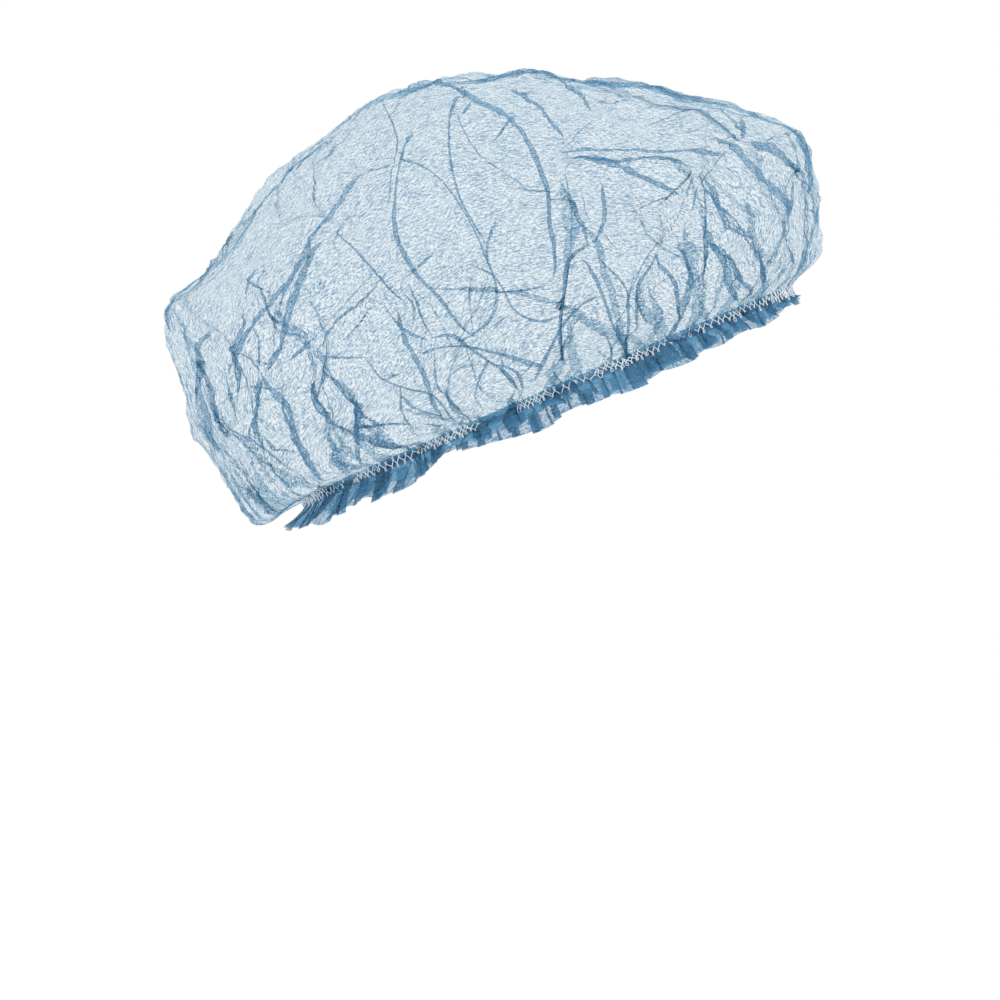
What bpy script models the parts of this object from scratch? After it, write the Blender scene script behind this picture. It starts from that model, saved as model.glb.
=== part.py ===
"""Disposable bouffant hair net, at the size and in the shape that it has on a head.

One disc of thin spunbonded cloth is gathered onto a loop of elastic. Above the elastic the slack
stands out as a puffed crown, and below it the last centimetre of the disc makes a pleated frill.

Metres. The wearer looks along -Y with an upright head, and +Z is up. The origin is the middle of the
elastic loop, where the head goes in. The loop is worn high on the forehead and low on the nape, so
the pieces are modelled on a level loop and hang from one empty that tilts them all.
"""

import math
from collections import Counter, namedtuple

import bmesh
import bpy
from mathutils import Vector

# Driving dimensions
LOOP_LENGTH = 0.197
LOOP_WIDTH = 0.156
FRONT_REACH = 0.129
BACK_REACH = 0.127
SIDE_REACH = 0.104
CROWN_HEIGHT = 0.131
WORN_TILT = math.radians(23.5)
CLOTH_WALL = 0.001
ELASTIC_WIDTH = 0.004
ELASTIC_THICKNESS = 0.001
FRILL_DEPTH = 0.0080
FRILL_FLARE = 0.0026
SEAM_CLEARANCE = 0.0003
SEAM_GAP = 0.0016
PLEAT_COUNT = 36
PLEAT_UNEVENNESS = 0.22
CROWN_PLEAT_DEPTH = 0.0030
PLEAT_TOP = 2.0
SEAM_PLEAT_DEPTH = 0.0010
HEM_PLEAT_DEPTH = 0.0042
HEM_WAVES = 11
HEM_UNEVENNESS = 0.06
FOLD_HEIGHT = 0.0060
FOLD_WIDTH = 0.010
STEEP_SIDE = 0.6
GENTLE_SIDE = 1.6
FOLD_POWER = 1.4
FOLD_END = 0.3
FOLD_FILL = 5.0
FOLD_INSET = 0.0012
FOLD_START = 2.0
SIDE_BLEND = 0.045
SLACK_DEPTH = 0.0016
SLACK_WAVES_ROUND = 9
SLACK_WAVES_UP = 1.5
APEX_CALM = 3.0
PUSH_HEIGHT = 0.3

# Mesh density
STEPS_PER_PLEAT = 4
CROWN_STEPS_PER_PLEAT = 8
CROWN_RINGS = 80
FRILL_RINGS = 2
CROWN_FACES = 4250
ELASTIC_STEPS = 96

COLLECTION_NAME = "bouffant_hair_net"

# The crown's outline, level by level from the elastic up, along the front, the side and the back.
# Out is a share of that direction's reach, and up a share of the crown's height.
Level = namedtuple("Level", "name front_out front_up side_out side_up back_out back_up")
LEVELS = [
    Level("collar", 0.790, 0.030, 0.782, 0.030, 0.805, 0.030),
    Level("roll", 0.86, 0.055, 0.86, 0.055, 0.91, 0.000),
    Level("low belly", 0.93, 0.145, 0.95, 0.135, 0.985, 0.10),
    Level("belly", 0.97, 0.26, 1.00, 0.24, 1.00, 0.27),
    Level("shoulder", 1.00, 0.40, 0.99, 0.40, 0.985, 0.50),
    Level("brow", 0.90, 0.52, 0.93, 0.56, 0.945, 0.67),
    Level("slope", 0.70, 0.66, 0.81, 0.71, 0.79, 0.73),
    Level("upper slope", 0.47, 0.81, 0.59, 0.87, 0.54, 0.88),
    Level("crest", 0.20, 0.94, 0.30, 0.965, 0.29, 0.965),
    Level("apex", -0.07, 1.00, 0.00, 1.00, 0.07, 1.00),
]

# The main creases, as they lie when the cap is seen from the wearer's right. Along runs from -1 at the
# back reach to 1 at the front reach, and up is a share of the crown's height. Height and width are
# shares of FOLD_HEIGHT and FOLD_WIDTH.
Fold = namedtuple("Fold", "name path height width")
FOLDS = [
    Fold("crown sweep", [(-0.14, 0.97), (0.07, 0.88), (0.23, 0.68), (0.28, 0.42), (0.27, 0.35)], 0.9, 1.0),
    Fold("middle drop", [(0.27, 0.35), (0.18, 0.31), (0.10, 0.18), (0.06, 0.02)], 1.1, 0.9),
    Fold("middle hook", [(0.27, 0.35), (0.35, 0.40), (0.37, 0.50)], 0.7, 0.8),
    Fold("star up", [(-0.02, 0.41), (0.06, 0.48), (0.15, 0.56)], 0.7, 0.7),
    Fold("star down", [(-0.09, 0.52), (-0.02, 0.41), (-0.13, 0.32), (-0.28, 0.25)], 1.0, 0.9),
    Fold("low band", [(-0.28, 0.25), (-0.16, 0.20), (-0.05, 0.12), (0.05, 0.02)], 1.4, 1.3),
    Fold("back diagonal", [(-0.37, 0.68), (-0.33, 0.53), (-0.27, 0.34)], 0.8, 0.8),
    Fold("back drop", [(-0.30, 0.40), (-0.31, 0.30), (-0.32, 0.17), (-0.29, 0.05)], 1.0, 0.9),
    Fold("back level", [(-0.54, 0.77), (-0.45, 0.73), (-0.37, 0.68)], 1.0, 0.9),
    Fold("back fan", [(-0.43, 0.70), (-0.50, 0.64), (-0.57, 0.57), (-0.65, 0.44)], 1.0, 1.3),
    Fold("back crease", [(-0.53, 0.56), (-0.52, 0.42), (-0.53, 0.34), (-0.58, 0.25)], 1.1, 0.9),
    Fold("nape sweep", [(-0.62, 0.30), (-0.60, 0.19), (-0.53, 0.08), (-0.42, 0.01)], 1.4, 1.3),
    Fold("tip line", [(-0.92, 0.67), (-0.81, 0.55), (-0.67, 0.33)], 0.9, 0.7),
    Fold("pouch", [(-0.83, 0.53), (-0.82, 0.45), (-0.86, 0.31), (-0.93, 0.21)], 0.9, 0.8),
    Fold("front curl", [(0.64, 0.42), (0.49, 0.36), (0.40, 0.23), (0.33, 0.16), (0.30, 0.02)], 1.2, 0.9),
    Fold("front level", [(0.29, 0.58), (0.40, 0.53), (0.56, 0.47), (0.72, 0.44)], 0.8, 0.9),
    Fold("front drop", [(0.65, 0.43), (0.59, 0.24), (0.54, 0.10)], 0.8, 0.8),
    Fold("brow back", [(0.81, 0.42), (0.67, 0.54), (0.51, 0.74)], 0.8, 0.9),
    Fold("brow front", [(0.81, 0.42), (0.90, 0.34), (0.95, 0.24)], 0.9, 0.9),
    Fold("brow drop", [(0.81, 0.42), (0.79, 0.30), (0.80, 0.14), (0.79, 0.05)], 1.1, 1.1),
    Fold("front corner", [(1.00, 0.41), (0.97, 0.28), (0.90, 0.15)], 0.7, 0.9),
]

# The far side wasn't seen. It wears the same kind of folds, with front and back swapped and drawn in.
FAR_SIDE_ALONG = -0.92
FAR_SIDE_UP = 0.94

# Places where the frill is tucked under, by turns round the loop from the front towards the right.
Tuck = namedtuple("Tuck", "name turn depth width")
TUCKS = [
    Tuck("forehead", 0.0, 0.50, 0.070),
    Tuck("temple", 0.130, 0.25, 0.020),
    Tuck("below the low band", 0.252, 0.70, 0.018),
    Tuck("behind the ear", 0.310, 0.50, 0.022),
    Tuck("left temple", 0.840, 0.40, 0.028),
    Tuck("left ear", 0.690, 0.45, 0.030),
]


def start_empty_scene():
    for leftover in list(bpy.data.objects):
        bpy.data.objects.remove(leftover)


def make_collection(name):
    collection = bpy.data.collections.new(name)
    bpy.context.scene.collection.children.link(collection)
    return collection


def make_material(name, colour, roughness, alpha=1.0):
    material = bpy.data.materials.new(name)
    material.use_nodes = True
    shader = material.node_tree.nodes["Principled BSDF"]
    shader.inputs["Base Color"].default_value = (*colour, 1.0)
    shader.inputs["Roughness"].default_value = roughness
    shader.inputs["Metallic"].default_value = 0.0
    shader.inputs["Alpha"].default_value = alpha
    return material


def smooth_through(values, position):
    """The value at a place between the first and last of values, on one smooth curve through them."""
    first = min(int(position), len(values) - 2)
    part = position - first
    before = values[max(first - 1, 0)]
    start, end = values[first], values[first + 1]
    after = values[min(first + 2, len(values) - 1)]
    return start + 0.5 * part * (
        end
        - before
        + part * (2 * before - 5 * start + 4 * end - after + part * (3 * (start - end) + after - before))
    )


def seam_half_length():
    return LOOP_LENGTH / 2 + ELASTIC_THICKNESS + SEAM_CLEARANCE


def seam_half_width():
    return LOOP_WIDTH / 2 + ELASTIC_THICKNESS + SEAM_CLEARANCE


def level_place(rise):
    """Where a rise from seam to apex lies among the levels. The first ring of the mesh is the collar."""
    ring = rise * CROWN_RINGS
    return ring if ring < 1.0 else 1.0 + (ring - 1.0) * (len(LEVELS) - 1) / (CROWN_RINGS - 1)


def crown_base(turn, rise):
    """A point on the crown's inner face with no folds. Turn runs once round, and rise from seam to apex."""
    place = level_place(rise)

    def at(seam, column, size):
        return smooth_through([seam, *(getattr(level, column) * size for level in LEVELS)], place)

    front = at(seam_half_length(), "front_out", FRONT_REACH - CLOTH_WALL)
    back = at(seam_half_length(), "back_out", BACK_REACH - CLOTH_WALL)
    side = at(seam_half_width(), "side_out", SIDE_REACH - CLOTH_WALL)
    lift = SEAM_GAP / 2
    height = CROWN_HEIGHT - CLOTH_WALL
    front_up, side_up, back_up = (
        at(lift, column, height) for column in ("front_up", "side_up", "back_up")
    )
    angle = math.tau * turn
    ahead, across = math.cos(angle), math.sin(angle)
    end_up = front_up if ahead > 0 else back_up
    return Vector(
        (
            -side * across,
            (back - front) / 2 - (front + back) / 2 * ahead,
            side_up + (end_up - side_up) * ahead * ahead,
        )
    )


def way_out(base):
    """The way out of the crown at one of its points, from a place inside it and never downwards."""
    outward = base - Vector((0, 0, PUSH_HEIGHT * CROWN_HEIGHT))
    outward.z = max(outward.z, 0.0)
    return outward.normalized()


def fold_paths(along_scale, up_scale):
    """The creases of one side, each with its path in metres, seen from the wearer's right."""
    along_scale *= (FRONT_REACH + BACK_REACH) / 2
    up_scale *= CROWN_HEIGHT
    step = 1 if along_scale > 0 else -1
    return [
        (fold, [Vector((along * along_scale, up * up_scale)) for along, up in fold.path[::step]])
        for fold in FOLDS
    ]


RIGHT_FOLDS = fold_paths(1.0, 1.0)
LEFT_FOLDS = fold_paths(FAR_SIDE_ALONG, FAR_SIDE_UP)


def distance_to_path(point, path):
    """A point's distance from a run of straight legs, below zero on its right, and its place along it."""
    best, side, along, length = math.inf, 1.0, 0.0, 0.0
    for start, end in zip(path, path[1:]):
        leg = end - start
        share = min(max((point - start).dot(leg) / leg.length_squared, 0.0), 1.0)
        offset = point - start - leg * share
        if offset.length < best:
            best = offset.length
            side = math.copysign(1.0, leg.x * offset.y - leg.y * offset.x)
            along = length + share * leg.length
        length += leg.length
    return side * best, along / length


def fold_rise(base, folds):
    """How far the creases lift a point of the crown. Each is steep on one side and slopes off on the other."""
    here = Vector((-base.y, base.z))
    lift = 0.0
    for fold, path in folds:
        gap, share = distance_to_path(here, path)
        slope = FOLD_WIDTH * fold.width * (STEEP_SIDE if gap > 0 else GENTLE_SIDE)
        if abs(gap) < slope:
            taper = min(1.0, FOLD_END + FOLD_FILL * share * (1.0 - share))
            crest = (1.0 - abs(gap) / slope) ** FOLD_POWER
            lift = max(lift, FOLD_HEIGHT * fold.height * taper * crest)
    return lift


def pleat_wave(turn):
    """0 in the valley of a pleat and 1 on its crest, with the pleats leaning and varying along the seam."""
    beat = math.sin(math.tau * 5 * turn + 1.0) * math.cos(math.tau * 3 * turn)
    uneven = 1.0 + PLEAT_UNEVENNESS * (beat - 1.0)
    return uneven * 0.5 * (1.0 - math.cos(math.tau * PLEAT_COUNT * turn))


def crown_point(turn, rise):
    base = crown_base(turn, rise)
    above_seam = level_place(rise) / PLEAT_TOP
    gather = CROWN_PLEAT_DEPTH * pleat_wave(turn) * (above_seam * math.exp(1.0 - above_seam)) ** 2
    folds = fold_rise(base, RIGHT_FOLDS if base.x < 0 else LEFT_FOLDS) * min(1.0, abs(base.x) / SIDE_BLEND)
    round_wave = math.sin(math.tau * SLACK_WAVES_ROUND * turn)
    up_wave = math.sin(math.tau * (SLACK_WAVES_UP * rise + turn))
    calm = min(1.0, (1.0 - rise) * APEX_CALM) ** 2
    settled = min(max((level_place(rise) - 1.0) / FOLD_START, 0.0), 1.0)
    creases = folds + SLACK_DEPTH * round_wave * up_wave * calm - FOLD_INSET
    return base + way_out(base) * (gather + creases * settled)


def tuck_share(turn):
    """What is left of the frill's depth at a place round the loop."""
    left = 1.0
    for tuck in TUCKS:
        gap = (turn - tuck.turn + 0.5) % 1.0 - 0.5
        left -= tuck.depth * math.exp(-((gap / tuck.width) ** 2))
    return left


def frill_point(turn, drop):
    """A point on the frill's inner face. Drop runs from the seam to the hem."""
    angle = math.tau * turn
    depth = SEAM_PLEAT_DEPTH + (HEM_PLEAT_DEPTH - SEAM_PLEAT_DEPTH) * drop
    out = depth * pleat_wave(turn) + FRILL_FLARE * drop * drop
    hem_wave = 1.0 + HEM_UNEVENNESS * (math.cos(math.tau * HEM_WAVES * turn) - 1.0)
    return Vector(
        (
            -(seam_half_width() + out) * math.sin(angle),
            -(seam_half_length() + out) * math.cos(angle),
            -SEAM_GAP / 2 - FRILL_DEPTH * drop * tuck_share(turn) * hem_wave,
        )
    )


def elastic_point(turn, rise):
    """A point on the elastic's inner face. Rise runs over the width of the band."""
    angle = math.tau * turn
    return Vector(
        (
            -LOOP_WIDTH / 2 * math.sin(angle),
            -LOOP_LENGTH / 2 * math.cos(angle),
            ELASTIC_WIDTH * (rise - 0.5),
        )
    )


def turn_of(point):
    """Where a point of a primitive lies round the loop, from the front towards the right."""
    return math.atan2(-point.x, -point.y) / math.tau % 1.0


def new_sheet(name, shape):
    """An open sheet as a new object, with its faces turned away from the wearer's head."""
    mesh = bpy.data.meshes.new(name)
    bmesh.ops.recalc_face_normals(shape, faces=shape.faces)
    if sum(face.normal.dot(face.calc_center_median()) * face.calc_area() for face in shape.faces) < 0:
        bmesh.ops.reverse_faces(shape, faces=shape.faces)
    shape.to_mesh(mesh)
    shape.free()
    return bpy.data.objects.new(name, mesh)


def dome_sheet(name, segments, rings, place):
    """The upper half of a sphere, with each vertex moved to where place puts it."""
    shape = bmesh.new()
    bmesh.ops.create_uvsphere(shape, u_segments=segments, v_segments=2 * rings, radius=1.0)
    below = [vertex for vertex in shape.verts if vertex.co.z < -0.5 / rings]
    bmesh.ops.delete(shape, geom=below, context="VERTS")
    for vertex in shape.verts:
        rise = math.asin(min(max(vertex.co.z, 0.0), 1.0)) / (math.pi / 2)
        vertex.co = place(turn_of(vertex.co), rise)
    return new_sheet(name, shape)


def ring_sheet(name, segments, rings, place):
    """A circle extruded ring by ring, with each ring moved to where place puts it."""
    shape = bmesh.new()
    bmesh.ops.create_circle(shape, cap_ends=False, segments=segments, radius=1.0)
    ring = [(vertex, turn_of(vertex.co)) for vertex in shape.verts]
    edges = list(shape.edges)
    for vertex, turn in ring:
        vertex.co = place(turn, 0.0)
    for step in range(1, rings + 1):
        turns = {vertex: turn for vertex, turn in ring}
        made = bmesh.ops.extrude_edge_only(shape, edges=edges)["geom"]
        edges = [item for item in made if isinstance(item, bmesh.types.BMEdge)]
        above = [item for item in made if isinstance(item, bmesh.types.BMVert)]
        pairs = []
        for vertex in above:
            parent = next(
                edge.other_vert(vertex) for edge in vertex.link_edges if edge.other_vert(vertex) in turns
            )
            pairs.append((vertex, turns[parent]))
        for vertex, turn in pairs:
            vertex.co = place(turn, step / rings)
        ring = pairs
        edges = [edge for edge in edges if all(end in above for end in edge.verts)]
    return new_sheet(name, shape)


def thin_out(sheet, face_count):
    """Spends the faces where the sheet bends."""
    whole = sum(len(polygon.vertices) - 2 for polygon in sheet.data.polygons)
    modifier = sheet.modifiers.new("thin_out", "DECIMATE")
    modifier.ratio = min(1.0, face_count / whole)
    modifier.use_collapse_triangulate = True


def give_wall(sheet, thickness):
    modifier = sheet.modifiers.new("wall", "SOLIDIFY")
    modifier.thickness = thickness
    modifier.offset = 1.0


def place_piece(piece, collection, carrier, material):
    collection.objects.link(piece)
    piece.parent = carrier
    piece.data.materials.append(material)
    piece.data.shade_smooth()


def make_crown():
    crown = dome_sheet("crown", PLEAT_COUNT * CROWN_STEPS_PER_PLEAT, CROWN_RINGS, crown_point)
    thin_out(crown, CROWN_FACES)
    give_wall(crown, CLOTH_WALL)
    return crown


def make_frill():
    frill = ring_sheet("hem_frill", PLEAT_COUNT * STEPS_PER_PLEAT, FRILL_RINGS, frill_point)
    give_wall(frill, CLOTH_WALL)
    return frill


def make_elastic():
    elastic = ring_sheet("elastic_band", ELASTIC_STEPS, 1, elastic_point)
    give_wall(elastic, ELASTIC_THICKNESS)
    return elastic


def main():
    start_empty_scene()
    collection = make_collection(COLLECTION_NAME)
    carrier = bpy.data.objects.new("worn_tilt", None)
    carrier.rotation_euler.x = -WORN_TILT
    collection.objects.link(carrier)
    nonwoven = make_material("blue_nonwoven", (0.13, 0.36, 0.56), 0.75, alpha=0.6)
    hem_cloth = make_material("gathered_nonwoven", (0.10, 0.29, 0.47), 0.75, alpha=0.9)
    rubber = make_material("white_elastic", (0.72, 0.78, 0.80), 0.6)
    place_piece(make_crown(), collection, carrier, nonwoven)
    place_piece(make_frill(), collection, carrier, hem_cloth)
    place_piece(make_elastic(), collection, carrier, rubber)


main()
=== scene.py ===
# %% [markdown]
# # A disposable hair net
# One disc of thin blue nonwoven cloth is gathered onto a loop of elastic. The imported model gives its
# place, its size and its puffed form. This lesson makes the cloth itself: a sheet as large as the
# disc that was cut, laid over that form with its spare cloth in folds.

import math

import bpy
import numpy as np
from mathutils import Matrix, Vector
from mathutils.bvhtree import BVHTree


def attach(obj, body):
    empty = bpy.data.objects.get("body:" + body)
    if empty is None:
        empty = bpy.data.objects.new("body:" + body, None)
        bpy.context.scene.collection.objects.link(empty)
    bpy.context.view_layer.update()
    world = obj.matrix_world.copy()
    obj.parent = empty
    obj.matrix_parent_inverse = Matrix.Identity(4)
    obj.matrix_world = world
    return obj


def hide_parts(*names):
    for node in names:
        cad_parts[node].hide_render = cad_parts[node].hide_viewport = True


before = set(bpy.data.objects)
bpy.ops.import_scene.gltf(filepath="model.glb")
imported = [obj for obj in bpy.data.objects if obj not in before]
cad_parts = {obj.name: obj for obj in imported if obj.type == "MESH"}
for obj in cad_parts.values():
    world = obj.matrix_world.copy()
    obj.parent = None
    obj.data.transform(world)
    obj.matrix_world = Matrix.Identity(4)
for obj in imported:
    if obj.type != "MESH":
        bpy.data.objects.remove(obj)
bpy.ops.object.select_all(action="DESELECT")
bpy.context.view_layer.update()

# %% [markdown]
# ## The worn frame
# In use the elastic loop is tilted, high at the front and low at the back. It is easier to think in
# the loop's own frame, where the loop is level, so one matrix turns level points into worn ones. The
# other way is to tilt each finished object, but then its place wouldn't be in its mesh.

# %% The level loop and its tilt
WORN_TILT = math.radians(23.5)
LOOP_LENGTH = 0.197
LOOP_WIDTH = 0.156
SEAM_OUT = 0.0013
WORN = np.array(Matrix.Rotation(-WORN_TILT, 3, "X"))


def loop_points(turn, grow=0.0, up=0.0):
    """Points on the level loop. Turn runs once round, from the front towards the right side."""
    angle = math.tau * np.asarray(turn, float)
    across = LOOP_WIDTH / 2 + SEAM_OUT + grow
    ahead = LOOP_LENGTH / 2 + SEAM_OUT + grow
    return np.stack((-across * np.sin(angle), -ahead * np.cos(angle), up + 0.0 * angle), axis=-1)


print("elastic loop", round(math.pi * (LOOP_LENGTH + LOOP_WIDTH) / 2, 3), "m round")

# %% [markdown]
# ## The form under the cloth
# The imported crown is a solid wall. Rays from a point inside it find the form that it gives the cloth.
# The other way is to copy its faces, but they are coarse. A grid of hits can be smoothed a little
# and then read at any place between its lines.

# %% Read the crown's form with rays
HEART = np.array((0.0, 0.0, 0.035))
MERIDIANS = 240
RAYS_UP = 240
CLOTH_STAND = -0.0003
WALL_SKIP = 0.0002
THICKEST_WALL = 0.006

crown_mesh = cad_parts["crown"].data
crown_mesh.calc_loop_triangles()
crown_tree = BVHTree.FromPolygons(
    [v.co for v in crown_mesh.vertices], [t.vertices for t in crown_mesh.loop_triangles]
)


def ray_reach(turn, rise):
    """The way and the distance from the heart of the cap to its wall.

    Rise is 0 at the apex and 1 at the seam.
    """
    seam = loop_points(turn) - HEART
    level = loop_points(turn) / np.linalg.norm(loop_points(turn))
    lowest = math.atan2(seam[2], math.hypot(seam[0], seam[1]))
    elevation = math.pi / 2 + (lowest - math.pi / 2) * rise
    way = level * math.cos(elevation) + np.array((0, 0, math.sin(elevation)))
    start = Vector(WORN @ HEART)
    heading = Vector(WORN @ way)
    place, normal, face, distance = crown_tree.ray_cast(start, heading)
    if place is None:
        return way, None
    outer = crown_tree.ray_cast(place + heading * WALL_SKIP, heading, THICKEST_WALL)[3]
    return way, distance + (outer + WALL_SKIP if outer else 0.0)


ways = np.zeros((MERIDIANS, RAYS_UP + 1, 3))
reach = np.zeros((MERIDIANS, RAYS_UP + 1))
for m in range(MERIDIANS):
    for k in range(RAYS_UP + 1):
        way, distance = ray_reach(m / MERIDIANS, k / RAYS_UP)
        ways[m, k] = way
        reach[m, k] = distance if distance else reach[m, k - 1]
print("rays", reach.size, "reach", round(reach.min(), 3), "to", round(reach.max(), 3), "m")

# %% [markdown]
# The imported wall's flat faces show in the hits as slight steps. A few passes of a small blur take the
# steps out and leave the puffs, where a Smooth modifier on the wall would shrink the whole form.

# %% Smooth the form
FORM_SOFTENING = 3


def soften(values):
    """One pass of a small blur, closed round the loop and open from apex to seam."""
    values = (np.roll(values, 1, 0) + 2 * values + np.roll(values, -1, 0)) / 4
    values[:, 1:-1] = (values[:, :-2] + 2 * values[:, 1:-1] + values[:, 2:]) / 4
    return values


for step in range(FORM_SOFTENING):
    reach = soften(reach)
reach[:, 0] = reach[:, 0].mean()
form = HEART + ways * (reach + CLOTH_STAND)[:, :, None]
form[:, -1] = loop_points(np.arange(MERIDIANS) / MERIDIANS)
print("form height", round(form[..., 2].max(), 3), "m above the loop")

# %% [markdown]
# ## A ruler on the form
# Cloth has a length of its own, so the form is measured: along each meridian from apex to seam, and
# then round each ring. After this, a row says how far a point is from the apex and a column how far
# round, both in even steps of length.

# %% Measure the form into even rows and columns
ROWS = 160
COLUMNS = 720


def even_steps(line, count):
    """A line of points read again at even steps of its own length."""
    length = np.r_[0, np.cumsum(np.linalg.norm(np.diff(line, axis=0), axis=1))]
    places = np.linspace(0, length[-1], count)
    return np.stack([np.interp(places, length, line[:, axis]) for axis in range(3)], axis=-1), length[-1]


meridian_length = np.zeros(MERIDIANS)
by_row = np.zeros((ROWS + 1, MERIDIANS, 3))
for m in range(MERIDIANS):
    by_row[:, m], meridian_length[m] = even_steps(form[m], ROWS + 1)

surface = np.zeros((ROWS + 1, COLUMNS, 3))
ring_length = np.zeros(ROWS + 1)
for row in range(1, ROWS + 1):
    closed = np.vstack((by_row[row], by_row[row][:1]))
    points, ring_length[row] = even_steps(closed, COLUMNS + 1)
    surface[row] = points[:-1]
surface[0] = by_row[0].mean(axis=0)
column_turn = np.arange(COLUMNS) / COLUMNS
print("meridians", round(meridian_length.min(), 3), "to", round(meridian_length.max(), 3), "m")
print("widest ring", round(ring_length.max(), 3), "m, seam", round(ring_length[-1], 3), "m")

# %% [markdown]
# ## The sag at the back
# Low at the back the cloth bags over the elastic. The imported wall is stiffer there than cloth, so the
# form sags a few millimetres more, straight down as the cap is worn. One soft bump along the rows and
# one round the columns are enough, where a sculpted dent would lose its place when a size changes.

# %% Let the back sag
BACK_SAG = 0.0030
SAG_AT = 0.93
SAG_LONG = 0.035
SAG_WIDE = 0.055

row_share = np.arange(ROWS + 1) / ROWS
sag_by_row = np.exp(-(((row_share - SAG_AT) / SAG_LONG) ** 2))
sag_by_column = np.exp(-(((column_turn - 0.5) / SAG_WIDE) ** 2))
worn_down = np.array((0, 0, -1.0)) @ WORN
surface += BACK_SAG * sag_by_row[:, None, None] * sag_by_column[None, :, None] * worn_down
print("lowest place of the crown", round((surface @ WORN.T)[..., 2].min(), 4))

# %% [markdown]
# ## The frill below the seam
# The last centimetre of the disc stands below the elastic. In the photograph it is tucked under in
# places, where the white stitching meets the edge. It could be a strip of its own, but it is the same
# cloth, so the form gets more rows here, which drop and flare, and the disc simply runs on over them.

# %% Rows for the frill
FRILL_ROWS = 12
FRILL_CLOTH = 0.010
FRILL_DROP = 0.0088
FRILL_FLARE = 0.0020
BACK_FLARE = 0.0090
FRILL_CURL = 1.5
TUCKS = [
    ("front", 0.0, 0.60, 0.085),
    ("back", 0.5, 0.30, 0.060),
    ("right, ahead", 0.130, 0.25, 0.020),
    ("under the low band", 0.252, 0.80, 0.016),
    ("right, behind", 0.310, 0.45, 0.016),
    ("left, ahead", 0.840, 0.40, 0.028),
    ("left, behind", 0.690, 0.45, 0.030),
]


def frill_share(turn):
    """What is left of the frill's drop at a place round the loop."""
    left = np.ones_like(turn)
    for name, middle, depth, width in TUCKS:
        gap = (turn - middle + 0.5) % 1.0 - 0.5
        left -= depth * np.exp(-((gap / width) ** 2))
    return left


backward = np.clip(-np.cos(math.tau * column_turn), 0, 1) ** 2
frill = np.zeros((FRILL_ROWS, COLUMNS, 3))
for row in range(FRILL_ROWS):
    share = (row + 1) / FRILL_ROWS
    line = loop_points(column_turn)
    flat_way = line[:, :2] / np.linalg.norm(line[:, :2], axis=1)[:, None]
    flare = FRILL_FLARE + BACK_FLARE * backward
    line[:, :2] += flat_way * (flare * share**FRILL_CURL)[:, None]
    line[:, 2] = -FRILL_DROP * share * frill_share(column_turn)
    frill[row] = line
surface = np.concatenate((surface, frill))
ring_length = np.r_[ring_length, [ring_length[ROWS]] * FRILL_ROWS]
print("frill rows", FRILL_ROWS, "drop", round(-frill[-1, :, 2].min(), 4), "m at most")

# %% [markdown]
# ## The disc that was cut
# Such caps are cut as a round disc, here 530 mm across. A circle primitive filled with a fan of
# sectors would crowd its triangles at the middle. Rings of points, each with six more than the one
# inside it, keep the mesh even all over, so small folds look the same everywhere.

# %% Lay out the disc
DISC_ACROSS = 0.530
SEAM_RADIUS = DISC_ACROSS / 2 - FRILL_CLOTH
MESH_STEP = 0.00147
RING_GROWTH = 6
RINGS = round(DISC_ACROSS / 2 / MESH_STEP)

disc_turn, disc_radius = [0.0], [0.0]
for ring in range(1, RINGS + 1):
    for corner in range(RING_GROWTH * ring):
        disc_turn.append(corner / (RING_GROWTH * ring))
        disc_radius.append(DISC_ACROSS / 2 * ring / RINGS)
disc_turn = np.array(disc_turn)
disc_radius = np.array(disc_radius)
flat = disc_radius[:, None] * np.stack(
    (-np.sin(math.tau * disc_turn), -np.cos(math.tau * disc_turn)), axis=-1
)


def ring_start(ring):
    """The number of the first point of a ring."""
    return 1 + RING_GROWTH * ring * (ring - 1) // 2 if ring else 0


triangles = [(0, 1 + i, 1 + (i + 1) % RING_GROWTH) for i in range(RING_GROWTH)]
for ring in range(1, RINGS):
    inner, outer = RING_GROWTH * ring, RING_GROWTH * (ring + 1)
    i = j = 0
    while i < inner or j < outer:
        a = ring_start(ring) + i % inner
        b = ring_start(ring + 1) + j % outer
        if j < outer and (i >= inner or (j + 1) * inner <= (i + 1) * outer):
            triangles.append((a, b, ring_start(ring + 1) + (j + 1) % outer))
            j += 1
        else:
            triangles.append((a, b, ring_start(ring) + (i + 1) % inner))
            i += 1
print("disc", len(disc_turn), "points,", len(triangles), "triangles")

# %% [markdown]
# ## Gathers at the elastic
# The disc is three times as long round as the elastic. Near it the spare cloth lies in small folds that
# start at the seam and die out higher up. Pleats at even steps would look like a pie case, so each
# gather's place, lean and weight are drawn by chance, with a fixed seed that gives the same cap each run.

# %% The gathers that rise from the elastic
luck = np.random.default_rng(21)
GATHERS = [
    ("short", 120, 0.93, 0.985, 0.7),
    ("middling", 44, 0.80, 0.93, 0.8),
    ("long", 22, 0.55, 0.80, 0.7),
]
GATHER_JITTER = 0.4
GATHER_LEAN = 0.10
LEAN_LEFT_HALFWAY = 0.3
LIGHTEST_GATHER = 0.4
HEAVIEST_GATHER = 1.4

gather_lines = []
for name, count, highest, lowest, weight in GATHERS:
    for number in range(count):
        turn = (number + luck.uniform(-GATHER_JITTER, GATHER_JITTER)) / count
        top = luck.uniform(highest, lowest)
        lean = luck.normal(0, GATHER_LEAN) * (1 - top)
        line = [(turn + lean, top), (turn + LEAN_LEFT_HALFWAY * lean, (1 + top) / 2), (turn, 1.0)]
        gather_lines.append((np.array(line), weight * luck.uniform(LIGHTEST_GATHER, HEAVIEST_GATHER)))
print(len(gather_lines), "gathers")

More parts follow.
